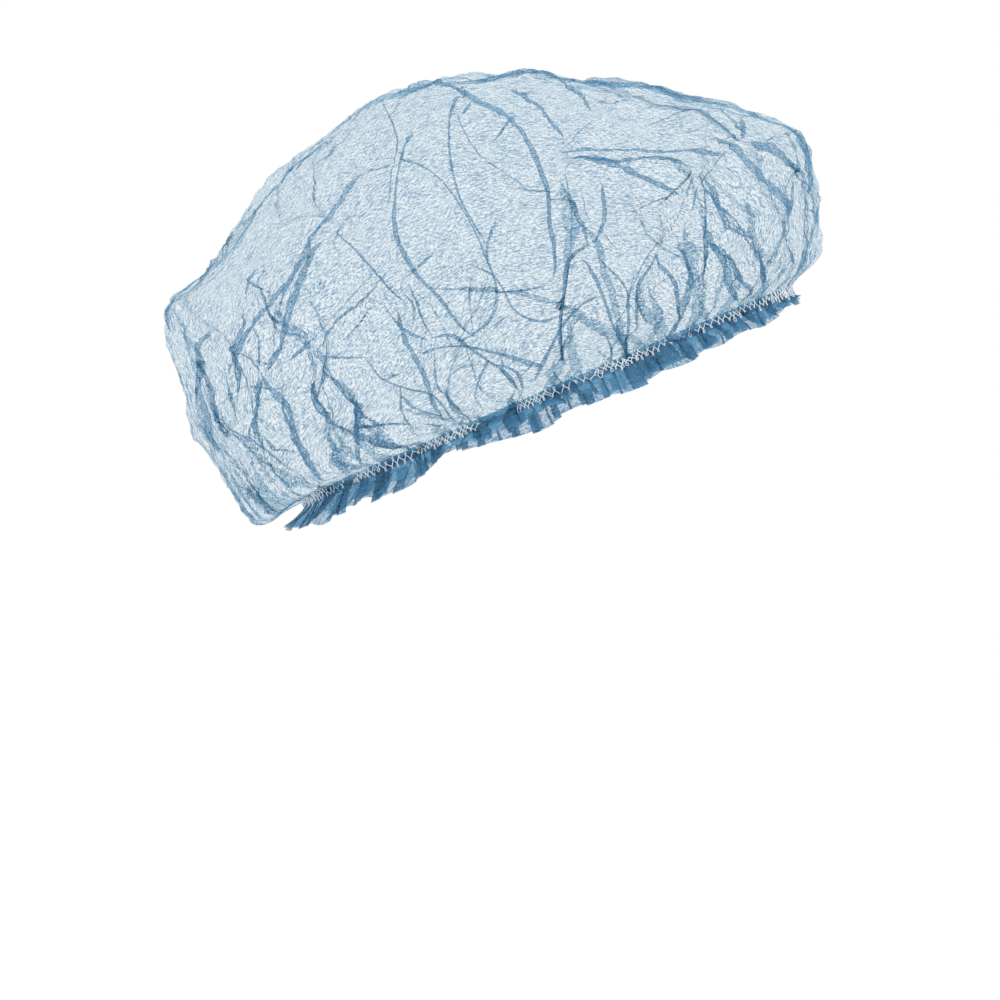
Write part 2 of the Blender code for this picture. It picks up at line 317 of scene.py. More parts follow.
# %% [markdown]
# A fold takes cloth out of a ring by running back on itself. Along the ring the place on the form
# goes forward, then back for the width of the fold, then forward again, so three layers lie over each
# other. Blender's cloth simulation is the usual way, but tried on this disc it didn't gather the spare
# cloth. Here two soft hinges, one for each crease, say where the cloth goes in one formula.

# %% How a ring of cloth is gathered
CREASE_SOFTNESS = 0.0004
WIDEST_GATHER = 0.0042
GATHER_START = 0.07
GATHER_GROWTH = 0.7
NEIGHBOURHOOD = 0.008
LOOKS_ROUND = 360
FAINTEST_GATHER = 0.01
ORDER_SOFTNESS = 0.0015
GATHER_LIFT = 0.45
HIGHEST_GATHER = 0.0020
TINY = 1e-9
TINY_WIDTH = 1e-6


def hinge(distance):
    """0 before a crease and the distance after it, with a soft turn between."""
    return 0.5 * (distance + np.sqrt(distance**2 + CREASE_SOFTNESS**2))


def gather_state(share):
    """The turn and the weight of every gather at one share of the way from apex to seam."""
    turns, weights = [], []
    for line, weight in gather_lines:
        turns.append(np.interp(min(share, 1.0), line[:, 1], line[:, 0]))
        weights.append(weight * np.clip((share - line[0, 1]) / GATHER_START, 0, 1) ** GATHER_GROWTH)
    return np.array(turns) % 1.0, np.array(weights)


def gather_widths(turns, weights, round_length, spare):
    """Each gather takes up the spare cloth of its own neighbourhood."""
    here = np.arange(LOOKS_ROUND)[:, None] / LOOKS_ROUND
    gap = (here - turns + 0.5) % 1.0 - 0.5
    pull = weights * np.exp(-np.abs(gap) * round_length / NEIGHBOURHOOD) + TINY
    shares = (pull / pull.sum(axis=1, keepdims=True)).mean(axis=0)
    return np.minimum(spare / 2 * shares, WIDEST_GATHER * np.minimum(weights, 1.0))


def gather_ring(ring):
    """The share of the way round the form and the height of each point of one ring of the disc."""
    count = RING_GROWTH * ring
    radius = DISC_ACROSS / 2 * ring / RINGS
    share = radius / SEAM_RADIUS
    row = min(share, 1.0) * ROWS
    round_length = np.interp(row, np.arange(ROWS + 1), ring_length[: ROWS + 1])
    cloth_length = math.tau * radius
    tau = np.arange(count) / count * cloth_length
    turns, weights = gather_state(share)
    live = weights > FAINTEST_GATHER
    turns, weights = turns[live], weights[live]
    if not len(turns):
        return tau / cloth_length, np.zeros(count)
    widths = gather_widths(turns, weights, round_length, max(cloth_length - round_length, 0.0))
    arcs = turns * round_length
    before = 1 / (1 + np.exp(-(arcs[:, None] - arcs[None, :]) / ORDER_SOFTNESS))
    np.fill_diagonal(before, 0.5)
    slope = (round_length + 2 * widths.sum()) / cloth_length
    centres = (arcs + (2 * widths * before).sum(axis=1)) / slope
    place = slope * tau
    height = np.zeros(count)
    side = np.where(np.arange(len(turns)) % 2, 1.0, -1.0)
    for wrap in (-cloth_length, 0.0, cloth_length):
        offset = tau[:, None] - centres - wrap
        step = hinge(offset + widths / 2) - hinge(offset - widths / 2)
        place -= 2 * (step - (widths if wrap < 0 else 0.0)).sum(axis=1)
        tent = 1 - np.abs(offset - side * widths / 2) / (widths + TINY_WIDTH)
        height += (np.clip(tent, 0, 1) * np.minimum(widths * GATHER_LIFT, HIGHEST_GATHER)).sum(axis=1)
    place = (place - place[0]) / (place[-1] - place[0] + slope * tau[1]) * round_length
    return place / round_length, height


# %% [markdown]
# Every ring of the disc is gathered by itself. Neighbouring rings share the same gathers, so their
# folds join up into lines that run down to the seam.

# %% Gather every ring
cloth_column = np.zeros(len(flat))
fold_height = np.zeros(len(flat))
for ring in range(1, RINGS + 1):
    points = slice(ring_start(ring), ring_start(ring) + RING_GROWTH * ring)
    cloth_column[points], fold_height[points] = gather_ring(ring)
cloth_column *= COLUMNS
print("gather height up to", round(fold_height.max() * 1000, 2), "mm")

# %% [markdown]
# ## Reading the form
# Each point of the disc now has a row, a column and a height. A Shrinkwrap modifier would pull all
# three layers of a fold onto the form. Reading the form at any place between its rows and columns
# keeps each layer where its own row and column say.

# %% Rows, columns and places
seam_share = disc_radius / SEAM_RADIUS
frill_part = np.clip((disc_radius - SEAM_RADIUS) / FRILL_CLOTH, 0, 1)
cloth_row = np.minimum(seam_share, 1) * ROWS + frill_part * FRILL_ROWS


def read_form(row, column):
    """The form at a row and column that may lie between the even ones."""
    low = np.clip(np.asarray(row).astype(int), 0, len(surface) - 2)
    left = np.floor(column).astype(int)
    down, over = (row - low)[:, None], (column - left)[:, None]
    left, right = left % COLUMNS, (left + 1) % COLUMNS
    upper = surface[low, left] * (1 - over) + surface[low, right] * over
    lower = surface[low + 1, left] * (1 - over) + surface[low + 1, right] * over
    return upper * (1 - down) + lower * down


cloth_place = read_form(cloth_row, cloth_column)
print("cloth rows up to", round(cloth_row.max(), 1))

# %% [markdown]
# ## Bands of doubled cloth
# The photograph shows many darker bands, where the thin cloth lies three times over. A painted stripe
# could stand for them, but it would have no edge or thickness from the side, so each one is a real
# fold. It follows a line of places, as seen from the right in the loop's own frame: along runs from -1
# at the back to 1 at the front, and up is a share of the crown's height. The first number is its width
# in millimetres. The far side gets the same folds turned end for end and a little narrower.

# %% The bands that the photograph shows
REACH = 0.128
CROWN_HEIGHT = 0.131
BANDS = [
    ("crown sweep", 4.2, [(0.05, 0.95), (0.19, 0.79), (0.24, 0.59), (0.16, 0.36), (0.12, 0.29)]),
    ("back fan", 3.6, [(-0.39, 0.68), (-0.49, 0.63), (-0.58, 0.55), (-0.64, 0.48), (-0.68, 0.42)]),
    ("node level", 2.2, [(-0.52, 0.75), (-0.44, 0.73), (-0.37, 0.68)]),
    ("back diagonal", 1.8, [(-0.37, 0.67), (-0.35, 0.61), (-0.31, 0.47), (-0.28, 0.4), (-0.27, 0.36)]),
    ("back drop", 2.8, [(-0.3, 0.4), (-0.32, 0.3), (-0.31, 0.2), (-0.31, 0.09), (-0.31, 0.04)]),
    ("tip line", 1.5, [(-0.9, 0.69), (-0.84, 0.6), (-0.78, 0.49), (-0.73, 0.43), (-0.66, 0.33)]),
    ("tip band", 5.4, [(-0.51, 0.85), (-0.6, 0.81), (-0.69, 0.78), (-0.78, 0.69), (-0.9, 0.67)]),
    ("tip sweep", 4.6, [(-0.82, 0.55), (-0.88, 0.51), (-0.93, 0.42), (-0.95, 0.32), (-0.96, 0.23)]),
    ("pouch curve", 1.8, [(-0.8, 0.53), (-0.79, 0.47), (-0.82, 0.38), (-0.86, 0.3), (-0.93, 0.23)]),
    ("pouch inner", 2.0, [(-0.76, 0.49), (-0.77, 0.38), (-0.81, 0.27), (-0.83, 0.15), (-0.79, 0.03)]),
    ("low back level", 1.8, [(-0.79, 0.37), (-0.76, 0.34), (-0.7, 0.31)]),
    ("low back sweep", 4.4, [(-0.7, 0.32), (-0.71, 0.26), (-0.71, 0.2), (-0.71, 0.11), (-0.69, 0.01)]),
    ("back crease", 4.0, [(-0.52, 0.52), (-0.52, 0.43), (-0.53, 0.36), (-0.58, 0.27), (-0.61, 0.22)]),
    ("low back band", 4.0, [(-0.61, 0.3), (-0.62, 0.21), (-0.58, 0.14), (-0.5, 0.06), (-0.43, 0.02)]),
    ("thin level", 1.0, [(-0.54, 0.13), (-0.47, 0.1), (-0.38, 0.06), (-0.31, 0.03)]),
    ("low back hook", 1.3, [(-0.69, 0.3), (-0.65, 0.28), (-0.58, 0.32)]),
    ("low band", 6.4, [(-0.3, 0.24), (-0.25, 0.24), (-0.17, 0.21), (-0.09, 0.15), (0.02, 0.07)]),
    ("low loop", 2.2, [(-0.24, 0.16), (-0.16, 0.14), (-0.08, 0.09), (-0.07, 0.03), (-0.13, 0.0)]),
    ("fan one", 2.2, [(-0.25, 0.15), (-0.26, 0.1), (-0.25, 0.03)]),
    ("fan two", 2.0, [(-0.26, 0.16), (-0.3, 0.12), (-0.31, 0.07)]),
    ("top crease", 2.4, [(0.25, 0.9), (0.45, 0.8), (0.58, 0.72), (0.69, 0.65), (0.78, 0.59), (0.94, 0.47)]),
    ("top band", 5.6, [(0.48, 0.75), (0.6, 0.65), (0.69, 0.57), (0.76, 0.48), (0.81, 0.43)]),
    ("star up", 1.3, [(0.78, 0.58), (0.8, 0.51), (0.82, 0.44)]),
    ("star post", 4.0, [(0.84, 0.51), (0.83, 0.47), (0.82, 0.44)]),
    ("star down", 5.4, [(0.82, 0.43), (0.8, 0.32), (0.81, 0.23), (0.81, 0.16), (0.78, 0.04)]),
    ("star out", 4.6, [(0.83, 0.43), (0.89, 0.34), (0.93, 0.24)]),
    ("star flag", 3.0, [(0.84, 0.42), (0.91, 0.35), (0.94, 0.31), (0.94, 0.25)]),
    ("front line", 1.2, [(0.94, 0.48), (0.95, 0.39), (0.96, 0.33)]),
    ("front level", 1.4, [(0.84, 0.42), (0.92, 0.42), (1.01, 0.4)]),
    ("front edge", 4.2, [(1.01, 0.4), (0.99, 0.32), (0.94, 0.25), (0.88, 0.15), (0.82, 0.05)]),
    ("front inner", 1.4, [(0.89, 0.29), (0.87, 0.21), (0.81, 0.14)]),
    ("front haze", 3.8, [(0.31, 0.61), (0.45, 0.55), (0.57, 0.5), (0.67, 0.46), (0.73, 0.42)]),
    ("front haze low", 3.4, [(0.3, 0.59), (0.41, 0.52), (0.51, 0.49), (0.59, 0.45), (0.63, 0.41)]),
    ("front knee", 2.2, [(0.63, 0.41), (0.55, 0.38), (0.48, 0.35)]),
    ("front knee low", 4.6, [(0.49, 0.35), (0.47, 0.28), (0.4, 0.21), (0.34, 0.17), (0.3, 0.05)]),
    ("front post", 3.0, [(0.64, 0.4), (0.6, 0.27), (0.53, 0.11)]),
    ("front slant", 2.0, [(0.65, 0.39), (0.66, 0.34), (0.69, 0.2), (0.74, 0.16)]),
    ("middle left", 2.4, [(0.28, 0.53), (0.27, 0.41), (0.26, 0.32)]),
    ("middle right", 2.8, [(0.37, 0.49), (0.35, 0.4), (0.27, 0.32)]),
    ("middle foot", 4.8, [(0.27, 0.33), (0.2, 0.32), (0.15, 0.24), (0.09, 0.14), (0.07, 0.06)]),
    ("middle star", 2.4, [(0.08, 0.52), (-0.01, 0.43), (-0.02, 0.32), (-0.08, 0.25), (-0.24, 0.25)]),
    ("middle arm", 2.0, [(0.13, 0.28), (0.05, 0.29), (-0.02, 0.31)]),
    ("crown left", 1.8, [(-0.1, 0.96), (-0.11, 0.83), (-0.17, 0.73), (-0.24, 0.62)]),
    ("crown right", 1.8, [(0.15, 0.91), (0.05, 0.82), (0.0, 0.68), (-0.01, 0.55), (-0.01, 0.43)]),
    ("back rise", 2.6, [(-0.29, 0.94), (-0.36, 0.86), (-0.39, 0.77), (-0.39, 0.68)]),
    ("back outer", 2.4, [(-0.39, 0.92), (-0.47, 0.85), (-0.52, 0.76)]),
    ("low front", 3.2, [(0.59, 0.23), (0.62, 0.14), (0.65, 0.03)]),
    ("side drop", 2.6, [(0.27, 0.31), (0.3, 0.21), (0.27, 0.1), (0.25, 0.02)]),
    ("front foot", 3.0, [(0.41, 0.25), (0.46, 0.16), (0.43, 0.04)]),
]
FAR_ALONG = -0.92
FAR_UP = 0.94
FAR_WIDTH = 0.85

level_rows = surface[: ROWS + 1]


def place_on_form(along, up, side):
    """The row and column of the form's point that is seen at this place from one side."""
    gap = (level_rows[..., 1] + along * REACH) ** 2 + (level_rows[..., 2] - up * CROWN_HEIGHT) ** 2
    gap = np.where(level_rows[..., 0] * side >= 0, gap, 1.0)
    return np.unravel_index(gap.argmin(), gap.shape)


def smooth_path(path, steps=8):
    """A soft curve through the points of a path."""
    points = np.array([path[0], *path, path[-1]], float)
    curve = []
    for before, start, end, after in zip(points, points[1:], points[2:], points[3:]):
        for step in range(steps):
            t = step / steps
            bend = 2 * before - 5 * start + 4 * end - after
            twist = 3 * (start - end) + after - before
            curve.append(start + 0.5 * t * (end - before + t * (bend + t * twist)))
    curve.append(points[-1])
    return np.array(curve)


def even_out(line, passes=6):
    """A line with its small steps smoothed away and its ends kept. It may cross the last column."""
    line = np.array(line, float)
    line[:, 1] = np.unwrap(line[:, 1], period=COLUMNS)
    for step in range(passes):
        line[1:-1] = (line[:-2] + 2 * line[1:-1] + line[2:]) / 4
    return line


bands = []
for name, width, path in BANDS:
    for side, along_scale, up_scale, widen in ((-1, 1.0, 1.0, 1.0), (1, FAR_ALONG, FAR_UP, FAR_WIDTH)):
        line = [place_on_form(a * along_scale, u * up_scale, side) for a, u in smooth_path(path)]
        bands.append((even_out(line), width * widen / 1000))
print(len(bands), "named bands on the two sides")

# %% [markdown]
# Between the main folds the cloth has small creases, as all thin cloth gets that was packed flat. They
# follow no rule, so a few dozen short bent lines are drawn by chance.

# %% Small creases by chance
CREASES = 80
CREASE_HIGHEST = 0.08
CREASE_LOWEST = 0.93
CREASE_SHORTEST = 0.012
CREASE_LONGEST = 0.036
CREASE_BEND = 0.25
CREASE_POINTS = 9
CREASE_NARROWEST = 0.0008
CREASE_WIDEST = 0.0021

row_step = meridian_length.mean() / ROWS
for number in range(CREASES):
    row = ROWS * luck.uniform(CREASE_HIGHEST, CREASE_LOWEST)
    column = COLUMNS * luck.uniform(0, 1)
    heading = luck.uniform(0, math.tau)
    length = luck.uniform(CREASE_SHORTEST, CREASE_LONGEST)
    bend = luck.normal(0, CREASE_BEND)
    column_step = np.interp(row, np.arange(len(ring_length)), ring_length) / COLUMNS
    line = []
    for t in np.linspace(-0.5, 0.5, CREASE_POINTS):
        way = heading + bend * t
        down = length * t * math.cos(way) / row_step
        over = length * t * math.sin(way) / column_step
        line.append((row + down, column + over))
    bands.append((np.array(line), luck.uniform(CREASE_NARROWEST, CREASE_WIDEST)))
print(len(bands), "bands in all")

# %% [markdown]
# ## Folding along a line
# To fold real cloth, it is drawn in from both sides of a line until it lies over itself. The same is
# done here to the points near each line: the ones close to it run back over each other, and the rest
# close up a little towards it. The fold is worked out on the form in three dimensions and turned into
# rows and columns last, so that it keeps its width wherever the form bends.

# %% Double the cloth over along each line
PULL = 0.014
SNAP = 0.00045
BAND_TAPER = 0.010
BAND_LIFT = 0.40
HIGHEST_LIFT = 0.0020
NARROWEST_SEEN = 0.4
WIDEST_BAND = 0.0085
BUNCHED_EDGE = 0.0005
FULLY_BUNCHED = 0.0020
SEAM_CALM = 5.0
AT_THE_SEAM = 0.96
TAPER_ROUNDNESS = 0.6
END_REACH = 0.002
TINY_LENGTH = 1e-7
TINY_AREA = 1e-16


def band_profile(points, line, width):
    """The width along a band. It narrows to nothing at its ends, but not where it meets the seam.

    Where the form turns away from the side view, the band is wider than it looks from there.
    """
    run = np.r_[0, np.cumsum(np.linalg.norm(np.diff(points, axis=0), axis=1))]
    across = np.cross(np.gradient(points, axis=0), points - HEART)
    across /= np.maximum(np.linalg.norm(across, axis=1), TINY)[:, None]
    seen = np.maximum(np.linalg.norm(across[:, 1:], axis=1), NARROWEST_SEEN)
    profile = np.minimum(width / seen, WIDEST_BAND)
    if line[0, 0] < AT_THE_SEAM * ROWS:
        profile *= np.clip(run / BAND_TAPER, 0, 1) ** TAPER_ROUNDNESS
    if line[-1, 0] < AT_THE_SEAM * ROWS:
        profile *= np.clip((run[-1] - run) / BAND_TAPER, 0, 1) ** TAPER_ROUNDNESS
    return profile


def nearest_on_line(places, points, widths):
    """Where places near a line are, measured from the line.

    For each place: its distance across the line, the way across, the line's width there, and how far
    the place is beyond the line's end.
    """
    way = np.diff(points, axis=0)
    length = np.maximum(np.linalg.norm(way, axis=1), TINY_LENGTH)
    gap = places[:, None] - points[None, :-1]
    share = np.clip((gap * way).sum(axis=2) / length**2, 0, 1)
    miss = gap - share[..., None] * way
    best = (miss**2).sum(axis=2).argmin(axis=1)
    picked = np.arange(len(places)), best
    share = share[picked]
    foot = points[best] + share[:, None] * way[best]
    outward = foot - HEART
    across = np.cross(way[best] / length[best][:, None], outward)
    across /= np.maximum(np.linalg.norm(across, axis=1), TINY)[:, None]
    distance = ((places - foot) * across).sum(axis=1)
    off_end = np.linalg.norm(places - foot - distance[:, None] * across, axis=1)
    return distance, across, widths[best] * (1 - share) + widths[best + 1] * share, off_end


def double_over(line, width, upper_side):
    """Fold the cloth along one line: shift the places near it and lift the upper layers."""
    points = read_form(line[:, 0], line[:, 1])
    widths = band_profile(points, line, width)
    low = points.min(axis=0) - PULL
    high = points.max(axis=0) + PULL
    near = np.flatnonzero(((cloth_place > low) & (cloth_place < high)).all(axis=1))
    if not len(near):
        return
    distance, across, here, off_end = nearest_on_line(cloth_place[near], points, widths)
    edge = np.sign(distance) * here / 2
    snapped = np.where((np.abs(distance - edge) < SNAP) & (here > 2 * SNAP), edge, distance)
    stretch = 1 + here / PULL
    folded = stretch * snapped + here - 2 * (hinge(snapped + here / 2) - hinge(snapped - here / 2))
    shift = np.where(np.abs(distance) < PULL, folded - distance, 0)
    shift *= np.clip(1 - off_end / PULL, 0, 1)
    tent = np.clip(1 - np.abs(snapped - upper_side * here / 2) / (here + TINY_WIDTH), 0, 1)
    core = np.clip((here / 2 + BUNCHED_EDGE - np.abs(snapped)) / BUNCHED_EDGE, 0, 1)
    core *= (off_end < END_REACH) * np.clip(here / FULLY_BUNCHED, 0, 1)
    bunched[near] = np.maximum(bunched[near], core)
    fold_height[near] += tent * np.minimum(here * BAND_LIFT, HIGHEST_LIFT) * (off_end < END_REACH)
    move = shift[:, None] * across
    row, column = cloth_row[near], cloth_column[near]
    origin = read_form(row, column)
    over = read_form(row, column + 1) - origin
    probe = np.where(row > ROWS + FRILL_ROWS - 1, -1.0, 1.0)
    down = (read_form(row + probe, column) - origin) * probe[:, None]
    over_over = (over * over).sum(axis=1)
    over_down = (over * down).sum(axis=1)
    down_down = (down * down).sum(axis=1)
    move_over = (move * over).sum(axis=1)
    move_down = (move * down).sum(axis=1)
    area = np.maximum(over_over * down_down - over_down**2, TINY_AREA)
    calm = np.clip(np.abs(row - ROWS) / SEAM_CALM, 0, 1)
    cloth_column[near] += (move_over * down_down - move_down * over_down) / area
    cloth_row[near] += calm * (move_down * over_over - move_over * over_down) / area
    cloth_row[near] = np.clip(cloth_row[near], 0, ROWS + FRILL_ROWS)
    cloth_place[near] = read_form(cloth_row[near], cloth_column[near])


# The widest come last, because each fold moves the ones made before it a little.
bands.sort(key=lambda band: band[1])
bunched = np.zeros(len(flat))
for number, (line, width) in enumerate(bands):
    double_over(line, width, 1 if number % 2 else -1)
print("fold height up to", round(fold_height.max() * 1000, 2), "mm")

# %% [markdown]
# ## Onto the form
# The cloth is lifted off the form by its folds, and soft waves keep it from looking ironed. A noise
# texture on a Displace modifier could make the waves. Sums of sines over the flat cloth are used, so
# that they follow the cloth through its folds. The frill is freer than the rest: its pleats stand out
# and its hem isn't straight.

# %% Lay the cloth on the form
BILLOW = 0.0009
CRINKLE = 0.00034
RUFFLE = 0.0012
HEM_UNEVEN = 0.0011
HEM_OFFSET = 0.3
HIGHEST_FOLD = 0.0028
BILLOW_WAVES = (24, 0.030, 0.060, 5)
CRINKLE_WAVES = (40, 0.006, 0.013, 6)
RUFFLE_WAVES = (30, 0.012, 0.030, 7)
HEM_WAVES = (30, 0.030, 0.090, 8)
CALM_NEAR_SEAM = 0.06
SQUEEZED = 0.35
SQUEEZE_REACH = 0.03


def waves(places, count, shortest, longest, seed):
    """A field of soft waves over the flat cloth, mostly between -2 and 2."""
    chance = np.random.default_rng(seed)
    total = np.zeros(len(places))
    for number in range(count):
        heading = chance.uniform(0, math.tau)
        length = chance.uniform(shortest, longest)
        along = places @ np.array((math.cos(heading), math.sin(heading)))
        total += np.sin(math.tau * along / length + chance.uniform(0, math.tau))
    return total / math.sqrt(count / 2)


outward = cloth_place - HEART
outward[:, 2] = np.maximum(outward[:, 2], 0)
outward /= np.linalg.norm(outward, axis=1)[:, None]
free = np.clip((1 - seam_share) / CALM_NEAR_SEAM, 0, 1)
squeeze = SQUEEZED + (1 - SQUEEZED) * np.clip(np.abs(1 - seam_share) / SQUEEZE_REACH, 0, 1)
lift = HIGHEST_FOLD * np.tanh(fold_height / HIGHEST_FOLD) * squeeze
lift += (BILLOW * waves(flat, *BILLOW_WAVES) + CRINKLE * waves(flat, *CRINKLE_WAVES)) * free
lift += RUFFLE * frill_part * waves(flat, *RUFFLE_WAVES)
cloth_points = cloth_place + outward * lift[:, None]
cloth_points[:, 2] += HEM_UNEVEN * frill_part**2 * (waves(flat, *HEM_WAVES) + HEM_OFFSET)
cloth_points = cloth_points @ WORN.T

corners = cloth_points[np.array(triangles)]
cloth_area = np.linalg.norm(
    np.cross(corners[:, 1] - corners[:, 0], corners[:, 2] - corners[:, 0]), axis=1
).sum() / 2
print("cloth area", round(cloth_area, 4), "of", round(math.pi * DISC_ACROSS**2 / 4, 4), "square metres")

# %% [markdown]
# The points and triangles of the disc now become one mesh. Its UV map is the flat disc itself, so the
# finish lies on the cloth as it was made and folds with it.

# %% Make the cloth a mesh
cloth_mesh = bpy.data.meshes.new("gathered_cloth")
cloth_mesh.from_pydata([tuple(p) for p in cloth_points], [], triangles)
cloth = bpy.data.objects.new("gathered_cloth", cloth_mesh)
bpy.context.scene.collection.objects.link(cloth)
cloth_uv = cloth_mesh.uv_layers.new(name="flat_cloth")
loop_vertex = np.zeros(len(cloth_mesh.loops), int)
cloth_mesh.loops.foreach_get("vertex_index", loop_vertex)
cloth_uv.data.foreach_set("uv", (flat[loop_vertex] / DISC_ACROSS + 0.5).ravel())
bunched_place = cloth_mesh.attributes.new("bunched", "FLOAT", "POINT")
bunched_place.data.foreach_set("value", bunched)
cloth_mesh.shade_smooth()
print("cloth", len(cloth_mesh.polygons), "triangles")

# %% [markdown]
# ## The nonwoven
# Spunbonded cloth is a web of fine threads welded together at small dots. Light passes between the
# threads, so the finish is mostly holes. An evenly see-through colour would look like plastic film.
# Instead short stretched noise at several angles makes the threads, a lattice of cells makes the
# welded dots, and the gaps keep a faint tint from threads too fine to see. Along the seam and inside
# the bands the cloth is bunched more finely than the mesh can hold, so the finish closes up there.


# %% The nonwoven's finish
def new_material(name):
    """A new material with its nodes and links."""
    material = bpy.data.materials.new(name)
    material.use_nodes = True
    return material, material.node_tree.nodes, material.node_tree.links


def math_node(nodes, links, operation, *values):
    """A maths node whose inputs are numbers or other nodes' outputs."""
    node = nodes.new("ShaderNodeMath")
    node.operation = operation
    for socket, value in zip(node.inputs, values):
        if isinstance(value, (int, float)):
            socket.default_value = value
        else:
            links.new(value, socket)
    return node.outputs[0]


def stretched(nodes, links, uv, angle, across, along):
    """The flat cloth's coordinates, turned and counted in cells of this size in metres."""
    mapping = nodes.new("ShaderNodeMapping")
    mapping.inputs["Rotation"].default_value[2] = math.radians(angle)
    mapping.inputs["Scale"].default_value = (DISC_ACROSS / across, DISC_ACROSS / along, 1)
    links.new(uv, mapping.inputs["Vector"])
    return mapping.outputs["Vector"]


def ramp(nodes, links, value, low, high, to_low=0.0, to_high=1.0):
    """A value between low and high, counted again between two others and held there."""
    node = nodes.new("ShaderNodeMapRange")
    node.inputs["From Min"].default_value = low
    node.inputs["From Max"].default_value = high
    node.inputs["To Min"].default_value = to_low
    node.inputs["To Max"].default_value = to_high
    links.new(value, node.inputs["Value"])
    return node.outputs["Result"]


def thread_layer(nodes, links, uv, angle, across, along, low, high):
    """A web of threads at one angle, 1 on a thread and 0 between."""
    noise = nodes.new("ShaderNodeTexNoise")
    noise.noise_dimensions = "2D"
    noise.inputs["Scale"].default_value = 1.0
    noise.inputs["Detail"].default_value = THREAD_DETAIL
    noise.inputs["Roughness"].default_value = THREAD_ROUGHNESS
    links.new(stretched(nodes, links, uv, angle, across, along), noise.inputs["Vector"])
    return ramp(nodes, links, noise.outputs["Fac"], low, high)


THREAD_DETAIL = 2.0
THREAD_ROUGHNESS = 0.6
THREADS = [
    (4, 0.00065, 0.0048, 0.62, 0.69),
    (27, 0.00060, 0.0038, 0.63, 0.70),
    (-22, 0.00060, 0.0042, 0.63, 0.70),
    (62, 0.00065, 0.0034, 0.64, 0.71),
    (-58, 0.00065, 0.0034, 0.64, 0.71),
    (90, 0.00065, 0.0030, 0.65, 0.72),
]
CLOUD_CELL = (0.009, 0.014)
CLOUD_RANGE = (0.3, 0.7, 0.75, 1.25)
DOT_SPACING = 0.0021
DOT_UNEVEN = 0.25
DOT_RANGE = (0.16, 0.26, 0.55, 0.0)
GATHERED_FROM = 0.2535
GATHERED_SOFTNESS = 0.00212
GATHERED_COVER = 0.74
BAND_COVER = 0.34
WEB_COVER = 0.65
GAP_COVER = 0.02
LIT_THROUGH = 0.45

nonwoven, nodes, links = new_material("blue_nonwoven")
shader = nodes["Principled BSDF"]
output = nodes["Material Output"]
uv = nodes.new("ShaderNodeUVMap")
uv.uv_map = "flat_cloth"
uv = uv.outputs["UV"]
web = None
for layer_values in THREADS:
    layer = thread_layer(nodes, links, uv, *layer_values)
    web = layer if web is None else math_node(nodes, links, "MAXIMUM", web, layer)
cloudy = nodes.new("ShaderNodeTexNoise")
cloudy.noise_dimensions = "2D"
cloudy.inputs["Scale"].default_value = 1.0
links.new(stretched(nodes, links, uv, 0, *CLOUD_CELL), cloudy.inputs["Vector"])
density = ramp(nodes, links, cloudy.outputs["Fac"], *CLOUD_RANGE)
web = math_node(nodes, links, "MULTIPLY", web, density)
dots = nodes.new("ShaderNodeTexVoronoi")
dots.voronoi_dimensions = "2D"
dots.inputs["Scale"].default_value = 1.0
dots.inputs["Randomness"].default_value = DOT_UNEVEN
links.new(stretched(nodes, links, uv, 45, DOT_SPACING, DOT_SPACING), dots.inputs["Vector"])
welded = ramp(nodes, links, dots.outputs["Distance"], *DOT_RANGE)
web = math_node(nodes, links, "MAXIMUM", web, welded)
middle = nodes.new("ShaderNodeVectorMath")
middle.operation = "DISTANCE"
middle.inputs[1].default_value = (0.5, 0.5, 0)
links.new(uv, middle.inputs[0])
open_until = GATHERED_FROM / DISC_ACROSS
closed_from = (GATHERED_FROM + GATHERED_SOFTNESS) / DISC_ACROSS
gathered = ramp(nodes, links, middle.outputs["Value"], open_until, closed_from, 0.0, GATHERED_COVER)
web = math_node(nodes, links, "ADD", web, gathered)
in_band = nodes.new("ShaderNodeAttribute")
in_band.attribute_name = "bunched"
closed = math_node(nodes, links, "MULTIPLY", in_band.outputs["Fac"], BAND_COVER)
web = math_node(nodes, links, "ADD", web, closed)
cover = math_node(nodes, links, "MULTIPLY_ADD", web, WEB_COVER, GAP_COVER)
cover.node.use_clamp = True
shader.inputs["Base Color"].default_value = (0.082, 0.24, 0.40, 1)
shader.inputs["Roughness"].default_value = 0.65
through = nodes.new("ShaderNodeBsdfTranslucent")
through.inputs["Color"].default_value = (0.085, 0.265, 0.43, 1)
clear = nodes.new("ShaderNodeBsdfTransparent")
clear.inputs["Color"].default_value = (0.945, 0.98, 0.99, 1)
body = nodes.new("ShaderNodeMixShader")
body.inputs["Fac"].default_value = LIT_THROUGH
links.new(shader.outputs["BSDF"], body.inputs[1])
links.new(through.outputs["BSDF"], body.inputs[2])
mixed = nodes.new("ShaderNodeMixShader")
links.new(cover, mixed.inputs["Fac"])
links.new(clear.outputs["BSDF"], mixed.inputs[1])
links.new(body.outputs["Shader"], mixed.inputs[2])
links.new(mixed.outputs["Shader"], output.inputs["Surface"])
cloth_mesh.materials.append(nonwoven)
print("nonwoven nodes", len(nodes))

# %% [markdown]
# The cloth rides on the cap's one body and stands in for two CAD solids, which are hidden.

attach(cloth, "root")
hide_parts("crown", "hem_frill")
print("cloth declared as a sheet of", DISC_ACROSS, "m")
